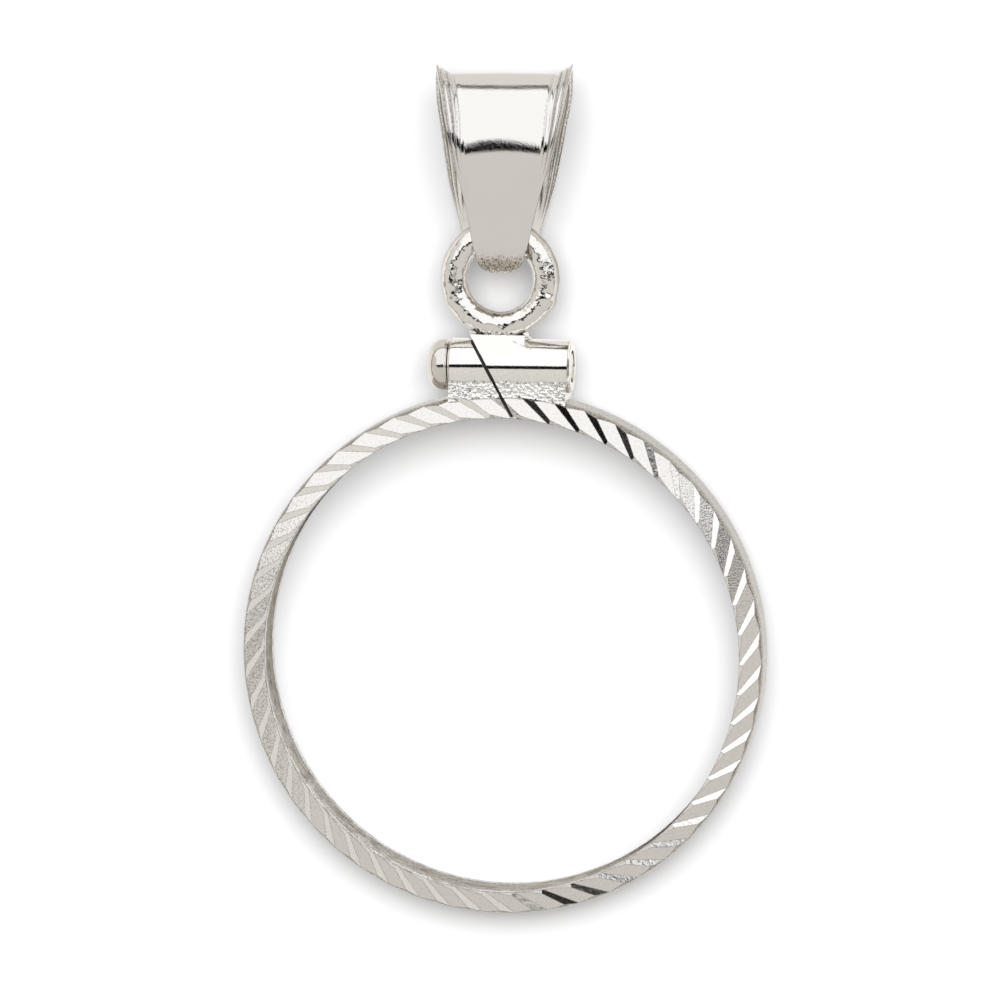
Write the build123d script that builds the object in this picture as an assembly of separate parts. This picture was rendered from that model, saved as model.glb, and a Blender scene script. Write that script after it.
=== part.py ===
# A screw-top coin bezel in silver: a split, grooved rim that closes round a coin, a screw in a
# cut tube on top of it, a soldered jump ring and a loose, tapered bail.
#
# Millimetres. The origin is the centre of the coin's seat. +Z is the rim's axis, out of the front,
# and +Y points from the rim to the bail. +X is to the right, seen from the front.

from build123d import *
from math import cos, hypot, radians, sin, sqrt, tan
import os

# The coin and the rim that holds it
coin_diameter = 16.5
coin_clearance = 0.05           # all round, between the coin's edge and the groove's floor
groove_width = 1.25             # room for the coin's thickness
lip_overlap = 0.35              # how far each lip covers the coin's face
rim_wall = 0.36                 # metal outside the groove's floor
rim_depth = 1.8                 # front face to back face
rim_edge_round = 0.30           # rounding between the outer wall and each face
rim_edge_angle = 60             # degrees of that rounding, before it runs straight to the face
rim_edge_drop = 0.04            # from the face down to where a full rounding would end

# The slanting cut facets of both faces: a wide one and a narrow one, in turn
facet_pairs = 50
facet_land = 0.04               # plain strip inside the facets, along the lip
facet_wide_share = 0.75         # of a pair's width, at its inner end
facet_valley_turn = 6.3         # degrees that a valley advances on its way outwards
facet_valley_start = 0.02       # depth of a valley below the face, at its inner end
facet_valley_end = 0.18         # and at its outer end
facet_ridge_rise = 0.020        # height of a ridge above the face before the land cuts it off
facet_end_inset = 0.08          # from the rim's outside to where a valley ends

# The screw tube, cut into a short ear and a long ear
tube_radius = 0.88
tube_gap = 0.01                 # between the tube's underside and the rim's outside
tube_left = -1.80
tube_length = 4.05
tube_end_bevel = 0.07
saw_width = 0.09
saw_centre_x = -0.66            # where the saw cut crosses the tube's axis
saw_slant = 28                  # degrees from the Y axis, seen from the front
saw_lean = 9.3                  # degrees from the Z axis

# The solder that fills the joint of tube and rim
saddle_inset_left = 0.06
saddle_inset_right = 0.16
saddle_waist = 0.60             # half depth at the narrowest
saddle_foot = 0.68              # half depth where it meets the rim and the tube
saddle_floor = 0.12             # metal left between the saddle's underside and the groove

# The screw
screw_radius = 0.50
screw_clearance = 0.03          # round the shank, and under the head
screw_tip_inset = 0.08          # from the tube's right end
head_radius = 0.86
head_length = 0.69
head_round = 0.52               # rounding from the head's side to its end
slot_width = 0.20
slot_depth = 0.20

# The jump ring and its solder pad
jump_wire_radius = 0.42
jump_radius = 1.53              # to the middle of the wire
jump_offset_x = -0.15
jump_seam_angle = 40            # degrees: where the wire's and the ring's seams lie
jump_rise = 0.04                # from the tube's top line to the ring's underside, in the solder
pad_left = -1.28
pad_right = 0.74
pad_rise = 0.17                 # above the tube's top line
pad_foot = 0.78                 # half depth at the tube's axis
pad_top = 0.45                  # half depth of its top

# The bail: a leaf of sheet with ridged, flared edges, bent into a loop and soldered at its tips
bail_height = 6.60
bail_depth = 3.16
bail_width = 4.52
bail_sheet = 0.30
bail_slack = 0.64               # from the loop's bottom to the jump ring's wire, inside the loop
bail_flare_width = 0.58         # of each ridged edge, at the bail's widest
bail_flare_rise = 0.25          # how far the edges stand out of the panel
bail_groove_depth = 0.05
bail_plain_edge = 0.35          # share of that width that the edge keeps where it is plain
bail_turn = 7.3                 # degrees about Y that the loose bail lies turned
bail_roll = -1.2                # degrees about Z
bail_seam_share = 0.05          # of the loop's length: how far in front of its bottom the tips meet

# The loop seen from the side. Each row: share of bail_height, share of half of bail_depth.
LOOP_SIDE = [
    (0.000, 0.00),
    (0.018, 0.30),
    (0.060, 0.50),
    (0.120, 0.61),
    (0.200, 0.68),
    (0.300, 0.76),
    (0.420, 0.86),
    (0.540, 0.95),
    (0.645, 1.00),
    (0.760, 0.95),
    (0.870, 0.77),
    (0.950, 0.49),
    (0.988, 0.25),
    (1.000, 0.00),
]

# The leaf laid flat. Each row: share of its half length from the middle, share of bail_width,
# share of the edge's flare.
LEAF_OUTLINE = [
    (0.00, 1.00, 1.0),
    (0.12, 0.985, 1.0),
    (0.24, 0.92, 1.0),
    (0.36, 0.85, 0.9),
    (0.47, 0.775, 0.55),
    (0.56, 0.69, 0.15),
    (0.64, 0.60, 0.0),
    (0.77, 0.495, 0.0),
    (0.87, 0.415, 0.0),
    (0.94, 0.34, 0.0),
    (1.00, 0.26, 0.0),
]

# Across one ridged edge of the leaf, over the outside and back under it. Each row: share of the
# way from the panel to the edge, share of the flare's rise, share of the groove's depth below
# that, share of the sheet's thickness below that.
EDGE_SECTION = [
    (0.00, 0.00, 0.0, 0.00),
    (0.45, 0.42, 0.0, 0.00),
    (0.62, 0.50, 1.0, 0.00),
    (1.00, 1.00, 0.0, 0.00),
    (1.00, 1.00, 0.0, 0.75),
    (0.00, 0.00, 0.0, 1.00),
]

groove_radius = coin_diameter / 2 + coin_clearance
lip_radius = coin_diameter / 2 - lip_overlap
rim_radius = groove_radius + rim_wall
half_depth = rim_depth / 2
tube_y = rim_radius + tube_gap + tube_radius
tube_right = tube_left + tube_length
bore_radius = screw_radius + screw_clearance
tube_top = tube_y + tube_radius
jump_y = tube_top + jump_rise + jump_radius + jump_wire_radius
wire_top_y = jump_y + jump_radius
bail_bottom_y = wire_top_y - jump_wire_radius - bail_slack - bail_sheet


def polar(radius, angle, height):
    return Vector(radius * cos(radians(angle)), radius * sin(radians(angle)), height)


def facet_lines():
    """Inner and outer ends of one valley line and of the ridge line that follows it."""
    pitch = 360 / facet_pairs
    inner = lip_radius + facet_land
    outer = rim_radius - facet_end_inset
    valley_in = half_depth - facet_valley_start
    valley_out = half_depth - facet_valley_end
    start = polar(inner, 0, valley_in)
    end = polar(outer, facet_valley_turn, valley_out)
    ridge = polar(inner, facet_wide_share * pitch, half_depth + facet_ridge_rise)
    next_start = polar(inner, pitch, valley_in)
    next_end = polar(outer, pitch + facet_valley_turn, valley_out)
    wide_normal = (end - start).cross(ridge - start)
    narrow_normal = (next_end - next_start).cross(ridge - next_start)
    return start, end - start, ridge, wide_normal.cross(narrow_normal)


def reach(point, direction, radius):
    """Where the line through the point crosses a cylinder of that radius round Z, going outwards."""
    if direction.X * point.X + direction.Y * point.Y < 0:
        direction = direction * -1
    a = direction.X ** 2 + direction.Y ** 2
    b = point.X * direction.X + point.Y * direction.Y
    c = point.X ** 2 + point.Y ** 2 - radius ** 2
    return point + direction * ((sqrt(b * b - a * c) - b) / a)


def facet_blank():
    """A ring with the cut facets above and below and plain sides well clear of the rim."""
    pitch = 360 / facet_pairs
    valley, valley_way, ridge, ridge_way = facet_lines()
    radii = (lip_radius - rim_wall, rim_radius + rim_wall)
    rows = []
    for point, way in ((valley, valley_way), (ridge, ridge_way)):
        rows.append([reach(point, way, radius) for radius in radii])
    spokes = []
    for pair in range(facet_pairs):
        turn = Rotation(0, 0, pair * pitch)
        for inner, outer in rows:
            spokes.append([(turn * Pos(*end)).position for end in (inner, outer)])
    faces = []
    for i, (inner, outer) in enumerate(spokes):
        next_inner, next_outer = spokes[(i + 1) % len(spokes)]
        quad = [inner, outer, next_outer, next_inner]
        faces.append(flat_face(quad))
        faces.append(flat_face([mirrored(p) for p in quad]))
        for a, b in ((inner, next_inner), (outer, next_outer)):
            faces.append(flat_face([a, b, mirrored(b), mirrored(a)]))
    return Solid(Shell(faces))


def mirrored(point):
    return Vector(point.X, point.Y, -point.Z)


def flat_face(points):
    return Face(Wire.make_polygon(points, close=True))


def rim_section():
    """Half of the rim's section, turned round Z later: lips, groove and an outside rounded in two cuts."""
    arc_x = rim_radius - rim_edge_round
    arc_z = half_depth - rim_edge_drop - rim_edge_round
    across = radians(rim_edge_angle)
    middle = radians(rim_edge_angle / 2)
    arc_end = (arc_x + rim_edge_round * cos(across), arc_z + rim_edge_round * sin(across))
    arc_middle = (arc_x + rim_edge_round * cos(middle), arc_z + rim_edge_round * sin(middle))
    face_x = arc_end[0] - (half_depth - arc_end[1]) * tan(across)
    half = Polyline(
        (rim_radius, 0),
        (groove_radius, 0),
        (groove_radius, groove_width / 2),
        (lip_radius, groove_width / 2),
        (lip_radius, half_depth),
        (face_x, half_depth),
        arc_end,
        arc_middle,
        (rim_radius, arc_z),
        (rim_radius, 0),
    )
    return make_face(half)


def make_rim():
    half = Plane.XZ * rim_section()
    upper = revolve(half, Axis.Z, 360)
    lower = mirror(upper, Plane.XY)
    return (upper + lower) & facet_blank()


def along_x(radius, start, end, y):
    """A round bar along X."""
    plane = Plane(origin=(start, y, 0), x_dir=(0, 1, 0), z_dir=(1, 0, 0))
    return extrude(plane * Circle(radius), end - start)


def across_x(points, start, end):
    """A bar along X whose section is given as (half depth, y) points of one side, mirrored."""
    outline = [(y, z) for z, y in points] + [(y, -z) for z, y in reversed(points)]
    plane = Plane(origin=(start, 0, 0), x_dir=(0, 1, 0), z_dir=(1, 0, 0))
    return extrude(plane * Polygon(*outline, align=None), end - start, dir=(1, 0, 0))


def make_tube():
    bar = along_x(tube_radius, tube_left, tube_right, tube_y)
    ends = bar.edges().filter_by(GeomType.CIRCLE)
    return chamfer(ends, tube_end_bevel)


def make_saddle():
    start = tube_left + saddle_inset_left
    end = tube_right - saddle_inset_right
    low = sqrt(groove_radius ** 2 - max(start ** 2, end ** 2))
    points = [(saddle_foot, tube_y), (saddle_waist, rim_radius + saddle_floor), (saddle_foot, low)]
    bar = across_x(points, start, end)
    return bar - Cylinder(groove_radius + saddle_floor, 2 * rim_depth)


def make_pad():
    points = [(pad_foot, tube_y), (pad_top, tube_top + pad_rise)]
    return across_x(points, pad_left, pad_right)


def make_jump_ring():
    wire = Pos(jump_radius, 0, 0) * Rotation(0, 0, jump_seam_angle) * Circle(jump_wire_radius)
    ring = revolve(Plane.XZ * wire, Axis.Z, 360)
    return Pos(jump_offset_x, jump_y, 0) * Rotation(0, 0, jump_seam_angle) * ring


def saw_block(left, right, above):
    """A block in line with the saw cut, from below the lip to a height above the tube's axis."""
    top = above / cos(radians(saw_slant))
    bottom = (lip_radius - rim_wall - tube_y) / cos(radians(saw_slant))
    block = Pos(left, bottom, -rim_depth) * Box(
        right - left, top - bottom, 2 * rim_depth, align=(Align.MIN, Align.MIN, Align.MIN)
    )
    return Pos(saw_centre_x, tube_y, 0) * Rotation(0, 0, saw_slant) * Rotation(0, saw_lean, 0) * block


def make_bezel_frame():
    pad = make_pad() - saw_block(-tube_length, 0, tube_length)
    body = make_rim() + make_saddle() + make_tube() + pad + make_jump_ring()
    bore = along_x(bore_radius, tube_left - tube_radius, tube_right + tube_radius, tube_y)
    return body - bore - saw_block(-saw_width / 2, saw_width / 2, tube_radius + 2 * pad_rise)


def make_screw():
    """The head's outline is turned round the tube's axis with the plain shank, then slotted."""
    under = tube_left - screw_clearance
    tip = tube_right - screw_tip_inset
    top = under - head_length
    flat = head_radius - head_round
    across = head_round * cos(radians(45))
    outline = Polyline(
        (top, flat), (top, 0), (tip, 0), (tip, screw_radius), (under, screw_radius),
        (under, head_radius), (top + head_round, head_radius),
    )
    arc_middle = (top + head_round - across, flat + across)
    arc = ThreePointArc((top + head_round, head_radius), arc_middle, (top, flat))
    profile = make_face(Wire([*outline.edges(), arc]))
    body = Pos(0, tube_y, 0) * revolve(profile, Axis.X, 360)
    slot = Pos(top, tube_y, 0) * Box(2 * slot_depth, 3 * head_radius, slot_width)
    return body - slot


def loop_points():
    """Points round the loop's outside, seen from the side as (y, z), from the bottom up the front."""
    front = [(h * bail_height, d * bail_depth / 2) for h, d in LOOP_SIDE]
    back = [(y, -z) for y, z in reversed(front[1:-1])]
    return front + back


def between(rows, share, column):
    """Straight interpolation in a table whose first column rises."""
    for low, high in zip(rows, rows[1:]):
        if share <= high[0]:
            part = (share - low[0]) / (high[0] - low[0])
            return low[column] + part * (high[column] - low[column])
    return rows[-1][column]


def leaf_section(y, z, out_y, out_z, width, flare):
    """One section of the leaf: a flat panel with a grooved, flared edge on both sides."""
    edge = width / 2
    panel = edge - bail_flare_width * (bail_plain_edge + (1 - bail_plain_edge) * flare)
    half = []
    for across, rise, groove, under in EDGE_SECTION:
        out = flare * (rise * bail_flare_rise - groove * bail_groove_depth) - under * bail_sheet
        half.append((panel + across * (edge - panel), out))
    around = half + [(-x, out) for x, out in reversed(half)]
    return [Vector(x, y + out * out_y, z + out * out_z) for x, out in around]


def make_bail():
    points = loop_points()
    count = len(points)
    lengths = [0.0]
    for i in range(count):
        (y0, z0), (y1, z1) = points[i], points[(i + 1) % count]
        lengths.append(lengths[-1] + hypot(y1 - y0, z1 - z0))
    total = lengths[-1]
    sections = []
    for i in range(count):
        (y0, z0), (y1, z1) = points[i - 1], points[(i + 1) % count]
        span = hypot(y1 - y0, z1 - z0)
        out_y, out_z = -(z1 - z0) / span, (y1 - y0) / span
        from_seam = (lengths[i] / total - bail_seam_share) % 1.0
        share = abs(from_seam - 0.5) * 2
        width = bail_width * between(LEAF_OUTLINE, share, 1)
        flare = between(LEAF_OUTLINE, share, 2)
        sections.append(leaf_section(*points[i], out_y, out_z, width, flare))
    faces = []
    for i in range(count):
        here, there = sections[i], sections[(i + 1) % count]
        for k in range(len(here)):
            a, b, c, d = here[k], here[(k + 1) % len(here)], there[(k + 1) % len(here)], there[k]
            faces.append(flat_face([a, b, c]))
            faces.append(flat_face([a, c, d]))
    leaf = Solid(Shell(faces))
    place = Pos(jump_offset_x, bail_bottom_y, 0) * Rotation(0, bail_turn, bail_roll)
    return place * leaf


def main():
    os.makedirs("parts", exist_ok=True)
    pieces = {
        "bezel_frame": make_bezel_frame(),
        "clasp_screw": make_screw(),
        "bail": make_bail(),
    }
    for name, piece in pieces.items():
        box = piece.bounding_box()
        print(name, "volume", round(piece.volume, 3), "valid", piece.is_valid, box.min, box.max)
        export_step(piece, f"parts/{name}.step")


main()
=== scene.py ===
# %% [markdown]
# # A screw-top coin bezel in silver
#
# A jeweller's finding that holds a small coin without drilling it. A split, grooved rim closes
# round the coin's edge, a screw in a cut tube pulls it shut, and a soldered jump ring carries a
# loose bail for the chain. It lies on its back, empty.
#
# The engineering model comes first and is never moved. Its rim, tube and soldered ring are right as
# they are. Here they get their finish, and the small parts get the relief that sets silver apart
# from grey plastic: polished metal is only as real as what it reflects and how its surface waves.

# %% Load the fixed frame
from functools import partial
from math import cos, exp, pi, radians, sin, sqrt, tau

import bmesh
import bpy
from mathutils import Matrix, Vector, noise


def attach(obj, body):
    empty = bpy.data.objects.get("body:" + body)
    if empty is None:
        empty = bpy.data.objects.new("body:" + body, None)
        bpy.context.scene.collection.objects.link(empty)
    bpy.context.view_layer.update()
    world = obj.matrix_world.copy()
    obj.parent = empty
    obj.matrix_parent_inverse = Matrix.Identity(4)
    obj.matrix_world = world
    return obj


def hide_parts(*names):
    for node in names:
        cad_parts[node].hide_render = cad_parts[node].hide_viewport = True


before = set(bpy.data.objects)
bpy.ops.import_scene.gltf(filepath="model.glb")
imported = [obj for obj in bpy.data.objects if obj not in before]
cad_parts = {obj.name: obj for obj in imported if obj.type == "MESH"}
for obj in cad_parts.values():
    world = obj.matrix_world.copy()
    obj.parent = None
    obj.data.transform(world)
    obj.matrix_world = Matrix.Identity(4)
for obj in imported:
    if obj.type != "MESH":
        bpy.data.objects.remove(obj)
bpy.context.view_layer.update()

MM = 0.001

# %% [markdown]
# ## Small helpers
#
# A hex colour is what the eye compares, but the renderer adds light in linear numbers, so one
# function turns one into the other. Another adds a node to a tree: it takes the node's settings by
# name, and its inputs in order or by name or number. A Mix node has its two plain values as inputs
# 2 and 3 and its two colours as 6 and 7. Below, add is that function with its tree filled in.

# %% Colours, nodes and meshes
def colour(hex_code):
    """An sRGB hex colour as linear red, green, blue and alpha."""
    channels = [int(hex_code[i : i + 2], 16) / 255 for i in (1, 3, 5)]
    linear = [c / 12.92 if c <= 0.04045 else ((c + 0.055) / 1.055) ** 2.4 for c in channels]
    return (*linear, 1.0)


def feed(node, inputs):
    """Feeds a node's inputs, in order or by name or number.

    Each gets a plain value, a hex colour, a socket, or another node's first output in use.
    """
    for name, value in inputs.items() if isinstance(inputs, dict) else enumerate(inputs):
        if isinstance(value, str):
            value = colour(value)
        if isinstance(value, bpy.types.Node):
            value = next(output for output in value.outputs if output.enabled)
        if isinstance(value, bpy.types.NodeSocket):
            node.id_data.links.new(value, node.inputs[name])
        else:
            node.inputs[name].default_value = value


def add_node(tree, kind, inputs=(), **settings):
    """Adds a node with its settings and inputs. A shader node's kind goes without ShaderNode."""
    node = tree.nodes.new(kind if "Node" in kind else "ShaderNode" + kind)
    for name, value in settings.items():
        setattr(node, name, value)
    feed(node, inputs)
    return node


def new_material(name, inputs):
    """A material, a function that adds a node to it, and its shader, fed with the inputs."""
    material = bpy.data.materials.new(name)
    material.use_nodes = True
    shader = material.node_tree.nodes["Principled BSDF"]
    feed(shader, inputs)
    return material, partial(add_node, material.node_tree), shader


def add_object(name, data):
    """Adds an object with its data to the scene."""
    thing = bpy.data.objects.new(name, data)
    bpy.context.scene.collection.objects.link(thing)
    return thing


def skin_faces(rings, points, rings_close=True, points_close=True):
    """Faces over rings of points, from each to the next. The rings, and each one, may close up."""
    faces = []
    for i in range(rings if rings_close else rings - 1):
        here = i * points
        there = (i + 1) % rings * points
        for k in range(points if points_close else points - 1):
            after = (k + 1) % points
            faces.append((here + k, here + after, there + after, there + k))
    return faces


def bar_faces(rings, points):
    """Faces over rings of points from the first to the last, with one more face on each end."""
    last = (rings - 1) * points
    ends = [tuple(range(points)), tuple(range(last, last + points))]
    return ends + skin_faces(rings, points, rings_close=False)


def mesh_piece(name, vertices, faces, material):
    """A closed, smooth mesh object at the origin, with its normals outwards."""
    mesh = bpy.data.meshes.new(name)
    mesh.from_pydata(vertices, [], faces)
    shell = bmesh.new()
    shell.from_mesh(mesh)
    bmesh.ops.remove_doubles(shell, verts=shell.verts, dist=1e-8)
    bmesh.ops.recalc_face_normals(shell, faces=shell.faces)
    shell.to_mesh(mesh)
    shell.free()
    mesh.materials.append(material)
    mesh.shade_smooth()
    piece = add_object(name, mesh)
    print(name, len(mesh.vertices), "vertices", len(mesh.polygons), "faces")
    return piece


# %% [markdown]
# ## The camera
#
# The photograph looks almost straight down on the pendant, from a little above and to the right,
# through a long lens. The camera stands along that direction, far enough that its 300 mm lens takes
# in the measured width. Its axes are built from the line of sight and the rim's up direction.

# %% Place the camera
SIGHT = Vector((0.142, 0.140, 1.0)).normalized()      # from the object towards the camera
LOOK_AT = Vector((-0.153, 5.071, 0.0)) * MM
VIEW_WIDTH = 32.97 * MM                               # what the picture's width takes in
LENS = 300.0
SENSOR = 36.0

side = Vector((0, 1, 0)).cross(SIGHT).normalized()
up = SIGHT.cross(side)
camera_data = bpy.data.cameras.new("camera")
camera_data.lens = LENS
camera_data.sensor_width = SENSOR
camera_data.clip_start = 0.01
camera_data.clip_end = 10.0
camera = add_object("camera", camera_data)
distance = VIEW_WIDTH * LENS / SENSOR
turn = Matrix((side, up, SIGHT)).transposed().to_4x4()
camera.matrix_world = Matrix.Translation(LOOK_AT + SIGHT * distance) @ turn
bpy.context.scene.camera = camera
print("camera at", [round(c / MM, 1) for c in camera.location], "mm")

# %% [markdown]
# ## The table it lies on
#
# The rim is thin and the bail is thick, so the pendant lies a little tilted: it touches the table
# with the rim's far lower edge and with the bail's lowest corner. The table is found from the
# model, as the flattest plane under both, seen from the side.

# %% Find the resting plane and make the table
PAPER = "#C2C4C7"
TABLE_SIZE = 1.2
TABLE_GAP = 0.005 * MM


def resting_line(points):
    """Height and slope of the lowest line under the points (y, z), held at its two ends."""
    slope = 0.0
    for _ in range(8):
        foot = min((p for p in points if p[0] < 0), key=lambda p: p[1] - slope * p[0])
        slope = min((p[1] - foot[1]) / (p[0] - foot[0]) for p in points if p[0] > -foot[0])
    return foot[1] - slope * foot[0], slope


corners = [(v.co.y, v.co.z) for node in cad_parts.values() for v in node.data.vertices]
rest_height, rest_slope = resting_line(corners)
rest_height -= TABLE_GAP
half = TABLE_SIZE / 2
table_corners = [(x, y, rest_height + rest_slope * y) for x, y in
                 ((-half, -half), (half, -half), (half, half), (-half, half))]

paper_inputs = {"Base Color": PAPER, "Roughness": 0.9, "Specular IOR Level": 0.0}
paper, _, _ = new_material("matt_white_paper", paper_inputs)
table = mesh_piece("table", table_corners, [(0, 1, 2, 3)], paper)
table.visible_glossy = False
print("table height", round(rest_height / MM, 3), "slope", round(rest_slope, 4))

# %% [markdown]
# ## The light
#
# Silver has hardly a colour of its own: it shows the room. In the photograph that room is a light
# tent with a large softbox above the bail's side, a dark gap below it where the camera stands, and
# warm grey cloth on the rim's side. The world shader paints exactly that by direction, so every
# curved part picks up the same black line between white and grey. The camera itself sees plain
# white.

# %% Sizes of the room that the silver reflects
# The direction that light comes from has a share along each of x, y and z.
# The softbox's lower edge. Each row: x and y of a point on it.
EDGE_LINE = [
    (-1.00, 0.060), (-0.50, 0.050), (-0.39, 0.055), (-0.30, 0.075), (-0.21, 0.105), (-0.155, 0.125),
    (-0.12, 0.115), (-0.04, 0.070), (0.05, 0.040), (0.100, 0.036), (0.115, 0.028), (0.128, 0.004),
    (0.146, -0.030), (0.17, -0.060), (0.22, -0.060), (0.36, 0.030), (0.46, 0.085), (0.53, 0.113),
    (1.00, 0.113),
]
# How wide the gap below it is. Each row: x and the width there.
GAP_WIDTH = [
    (-1.00, 0.10), (-0.46, 0.11), (-0.41, 0.16), (-0.30, 0.19), (-0.22, 0.20), (-0.18, 0.23),
    (-0.10, 0.23), (-0.05, 0.20), (0.12, 0.21), (0.145, 0.13), (0.165, 0.085), (0.19, 0.085),
    (0.40, 0.10), (0.53, 0.14), (1.00, 0.14),
]
EDGE_SOFTNESS = 0.012
SOFTBOX_LEFT = -0.66
SOFTBOX_SIDE = 0.03      # how soft its left edge is, each way
GAP_LEFT_DEPTH = 0.08    # how dark the gap is on the left of the softbox
SOFTBOX_WHITE = (1.16, 1.165, 1.17, 1.0)
TABLE_GLARE = (1.02, 1.0, 0.975, 1.0)
PLAIN_WHITE = (1.0, 1.0, 1.0, 1.0)

world = bpy.data.worlds.new("light_tent")
bpy.context.scene.world = world
world.use_nodes = True
room = world.node_tree
room.nodes.clear()
add = partial(add_node, room)

direction = add("TexCoord").outputs["Generated"]
axes = add("SeparateXYZ", {0: direction}).outputs
edge, gap = (add("FloatCurve", {"Value": axes["X"]}) for _ in range(2))
for node, rows in ((edge, EDGE_LINE), (gap, GAP_WIDTH)):
    node.mapping.clip_min_x = -1.0
    node.mapping.clip_min_y = -1.0
    line = node.mapping.curves[0]
    for x, y in rows[1:-1]:
        line.points.new(x, y)
    line.points[0].location = rows[0]
    line.points[-1].location = rows[-1]
    node.mapping.update()
over_edge = add("Math", (axes["Y"], edge), operation="SUBTRACT")
over_gap = add("Math", (over_edge, gap), operation="ADD")

# %% Paint it, one layer over the other
beyond = add("MapRange", {"Value": axes["Y"], "From Min": 0.45, "From Max": 0.6})
below_edge = add("MapRange", {"Value": over_edge, "From Min": EDGE_SOFTNESS, "From Max": 0.0})
left_starts, left_ends = SOFTBOX_LEFT - SOFTBOX_SIDE, SOFTBOX_LEFT + SOFTBOX_SIDE
on_the_right = add("MapRange", {"Value": axes["X"], "From Min": left_starts, "From Max": left_ends})
gap_depth = add("MapRange", {"Value": on_the_right, "To Min": GAP_LEFT_DEPTH})
gap_kept = add("Math", (gap_depth, below_edge), operation="MULTIPLY")
# Each row: what the layer is, what it goes by, where it starts and is full, which directions it is
# kept to, and its colour.
ROOM_LAYERS = [
    ("pale cloth by the gap", over_gap, -0.6, -0.2, 1.0, "#DEDBD6"),
    ("cloth on the left", axes["X"], left_ends, left_starts, 1.0, "#E2DFDA"),
    ("dark gap", over_gap, -EDGE_SOFTNESS, 0.0, gap_kept, "#0B0A09"),
    ("softbox", over_edge, 0.0, EDGE_SOFTNESS, on_the_right, SOFTBOX_WHITE),
    ("low walls", axes["Z"], 0.22, 0.08, 1.0, "#938E86"),
    ("softbox, over low walls", axes["Z"], 0.02, 0.16, beyond, SOFTBOX_WHITE),
    ("frame of the softbox", axes["Z"], 0.17, 0.12, beyond, "#77726B"),
    ("wall beyond the softbox", axes["Z"], 0.07, 0.04, beyond, "#E8E5DF"),
    ("table", axes["Z"], 0.06, -0.04, 1.0, TABLE_GLARE),
    ("table beyond the softbox", axes["Z"], 0.06, -0.04, beyond, "#EBE8E3"),
]
paint = "#DAD7D2"
for name, value, start, full, kept_to, tone in ROOM_LAYERS:
    rise = add(
        "MapRange", {"Value": value, "From Min": start, "From Max": full},
        interpolation_type="SMOOTHSTEP",
    )
    kept = add("Math", (rise, kept_to), operation="MULTIPLY")
    paint = add("Mix", {0: kept, 6: paint, 7: tone}, data_type="RGBA", label=name)
to_camera = add("LightPath").outputs["Is Camera Ray"]
seen = add("Mix", {0: to_camera, 6: paint, 7: PLAIN_WHITE}, data_type="RGBA")
background = add("Background", {"Color": seen, "Strength": 1.0})
add("OutputWorld", {"Surface": background})

bpy.context.scene.view_settings.view_transform = "Standard"
print("room layers", len(ROOM_LAYERS), "nodes", len(room.nodes))

# %% [markdown]
# The paper under the pendant is brighter than anything it reflects. A broad lamp beyond the bail
# does that, and it throws the soft shadow just below the rim and inside its top. It is hidden from
# mirror rays, so it lights the matt paper and leaves the silver to the room.

# %% The lamp beyond the bail
LAMP_SIZE = 0.36
LAMP_PLACE = Vector((0.055, 0.13, 0.42))
LAMP_POWER = 3.0
LAMP_TINT = (1.0, 0.965, 0.93)

lamp_data = bpy.data.lights.new("overhead_lamp", "AREA")
lamp_data.shape = "DISK"
lamp_data.size = LAMP_SIZE
lamp_data.energy = LAMP_POWER
lamp_data.color = LAMP_TINT
lamp = add_object("overhead_lamp", lamp_data)
lamp.location = LAMP_PLACE
lamp.rotation_euler = LAMP_PLACE.to_track_quat("Z", "Y").to_euler()
lamp.visible_glossy = False
print("lamp", LAMP_POWER, "W")

# %% [markdown]
# ## Polished sterling silver
#
# Real sterling is nearly white metal, a touch warm, and polished with rouge until only a faint haze
# is left. Its base colour is what it sends back head on, so it is bright. All the life comes from
# small waves in the surface: a bump pattern whose scale and depth are real millimetres.

# %% A function for silver finishes
SILVER = "#FAF8F5"


def silver(name, roughness, waves, base=SILVER):
    """Silver with bumps. Each wave's row: its size in mm, its depth in mm and how ragged it is."""
    material, add, shader = new_material(name, {"Base Color": base, "Metallic": 1.0, "Roughness": roughness})
    place = add("TexCoord").outputs["Object"]
    normal = {}
    for size, depth, ragged in waves:
        inputs = {"Vector": place, "Scale": 1 / (size * MM), "Detail": ragged, "Roughness": 0.6}
        pattern = add("TexNoise", inputs)
        inputs = {"Height": pattern, "Strength": 1.0, "Distance": depth * MM, **normal}
        normal = {"Normal": add("Bump", inputs)}
    feed(shader, normal)
    return material, add, shader


# %% [markdown]
# Old silver isn't the same all over: there is grime, oxide, grain and gloss, each in its own place.
# A mask says how much of one there is at a point, from 0 to 1. Masks are kept by name, and colours
# are laid over one another through them.

# %% Masks, and colours laid through them
def add_masks(add, masks, ranges, overlaps=()):
    """Adds masks by name. An overlap is where two of them are.

    A range's row: its name, what it goes by, where it starts and where it is full.
    An overlap's row: its name and the names of the two.
    """
    for name, value, start, full in ranges:
        masks[name] = add("MapRange", {"Value": value, "From Min": start, "From Max": full})
    for name, first, second in overlaps:
        masks[name] = add("Math", (masks[first], masks[second]), operation="MULTIPLY")


def lay_colours(add, masks, under, rows):
    """Lays colours over the one under. Each row: a mask, its strength and the colour."""
    for name, strength, over in rows:
        share = add("Math", (masks[name], strength), operation="MULTIPLY")
        under = add("Mix", {0: share, 6: under, 7: over}, data_type="RGBA")
    return under


# %% The screw's and the wire's finish
SCREW = "#E0DCD6"
WIRE = "#EDEAE6"
WIRE_SIDE_SHADE = "#8F887E"   # painted shade on the wire's sides, where it curves away from above

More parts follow.
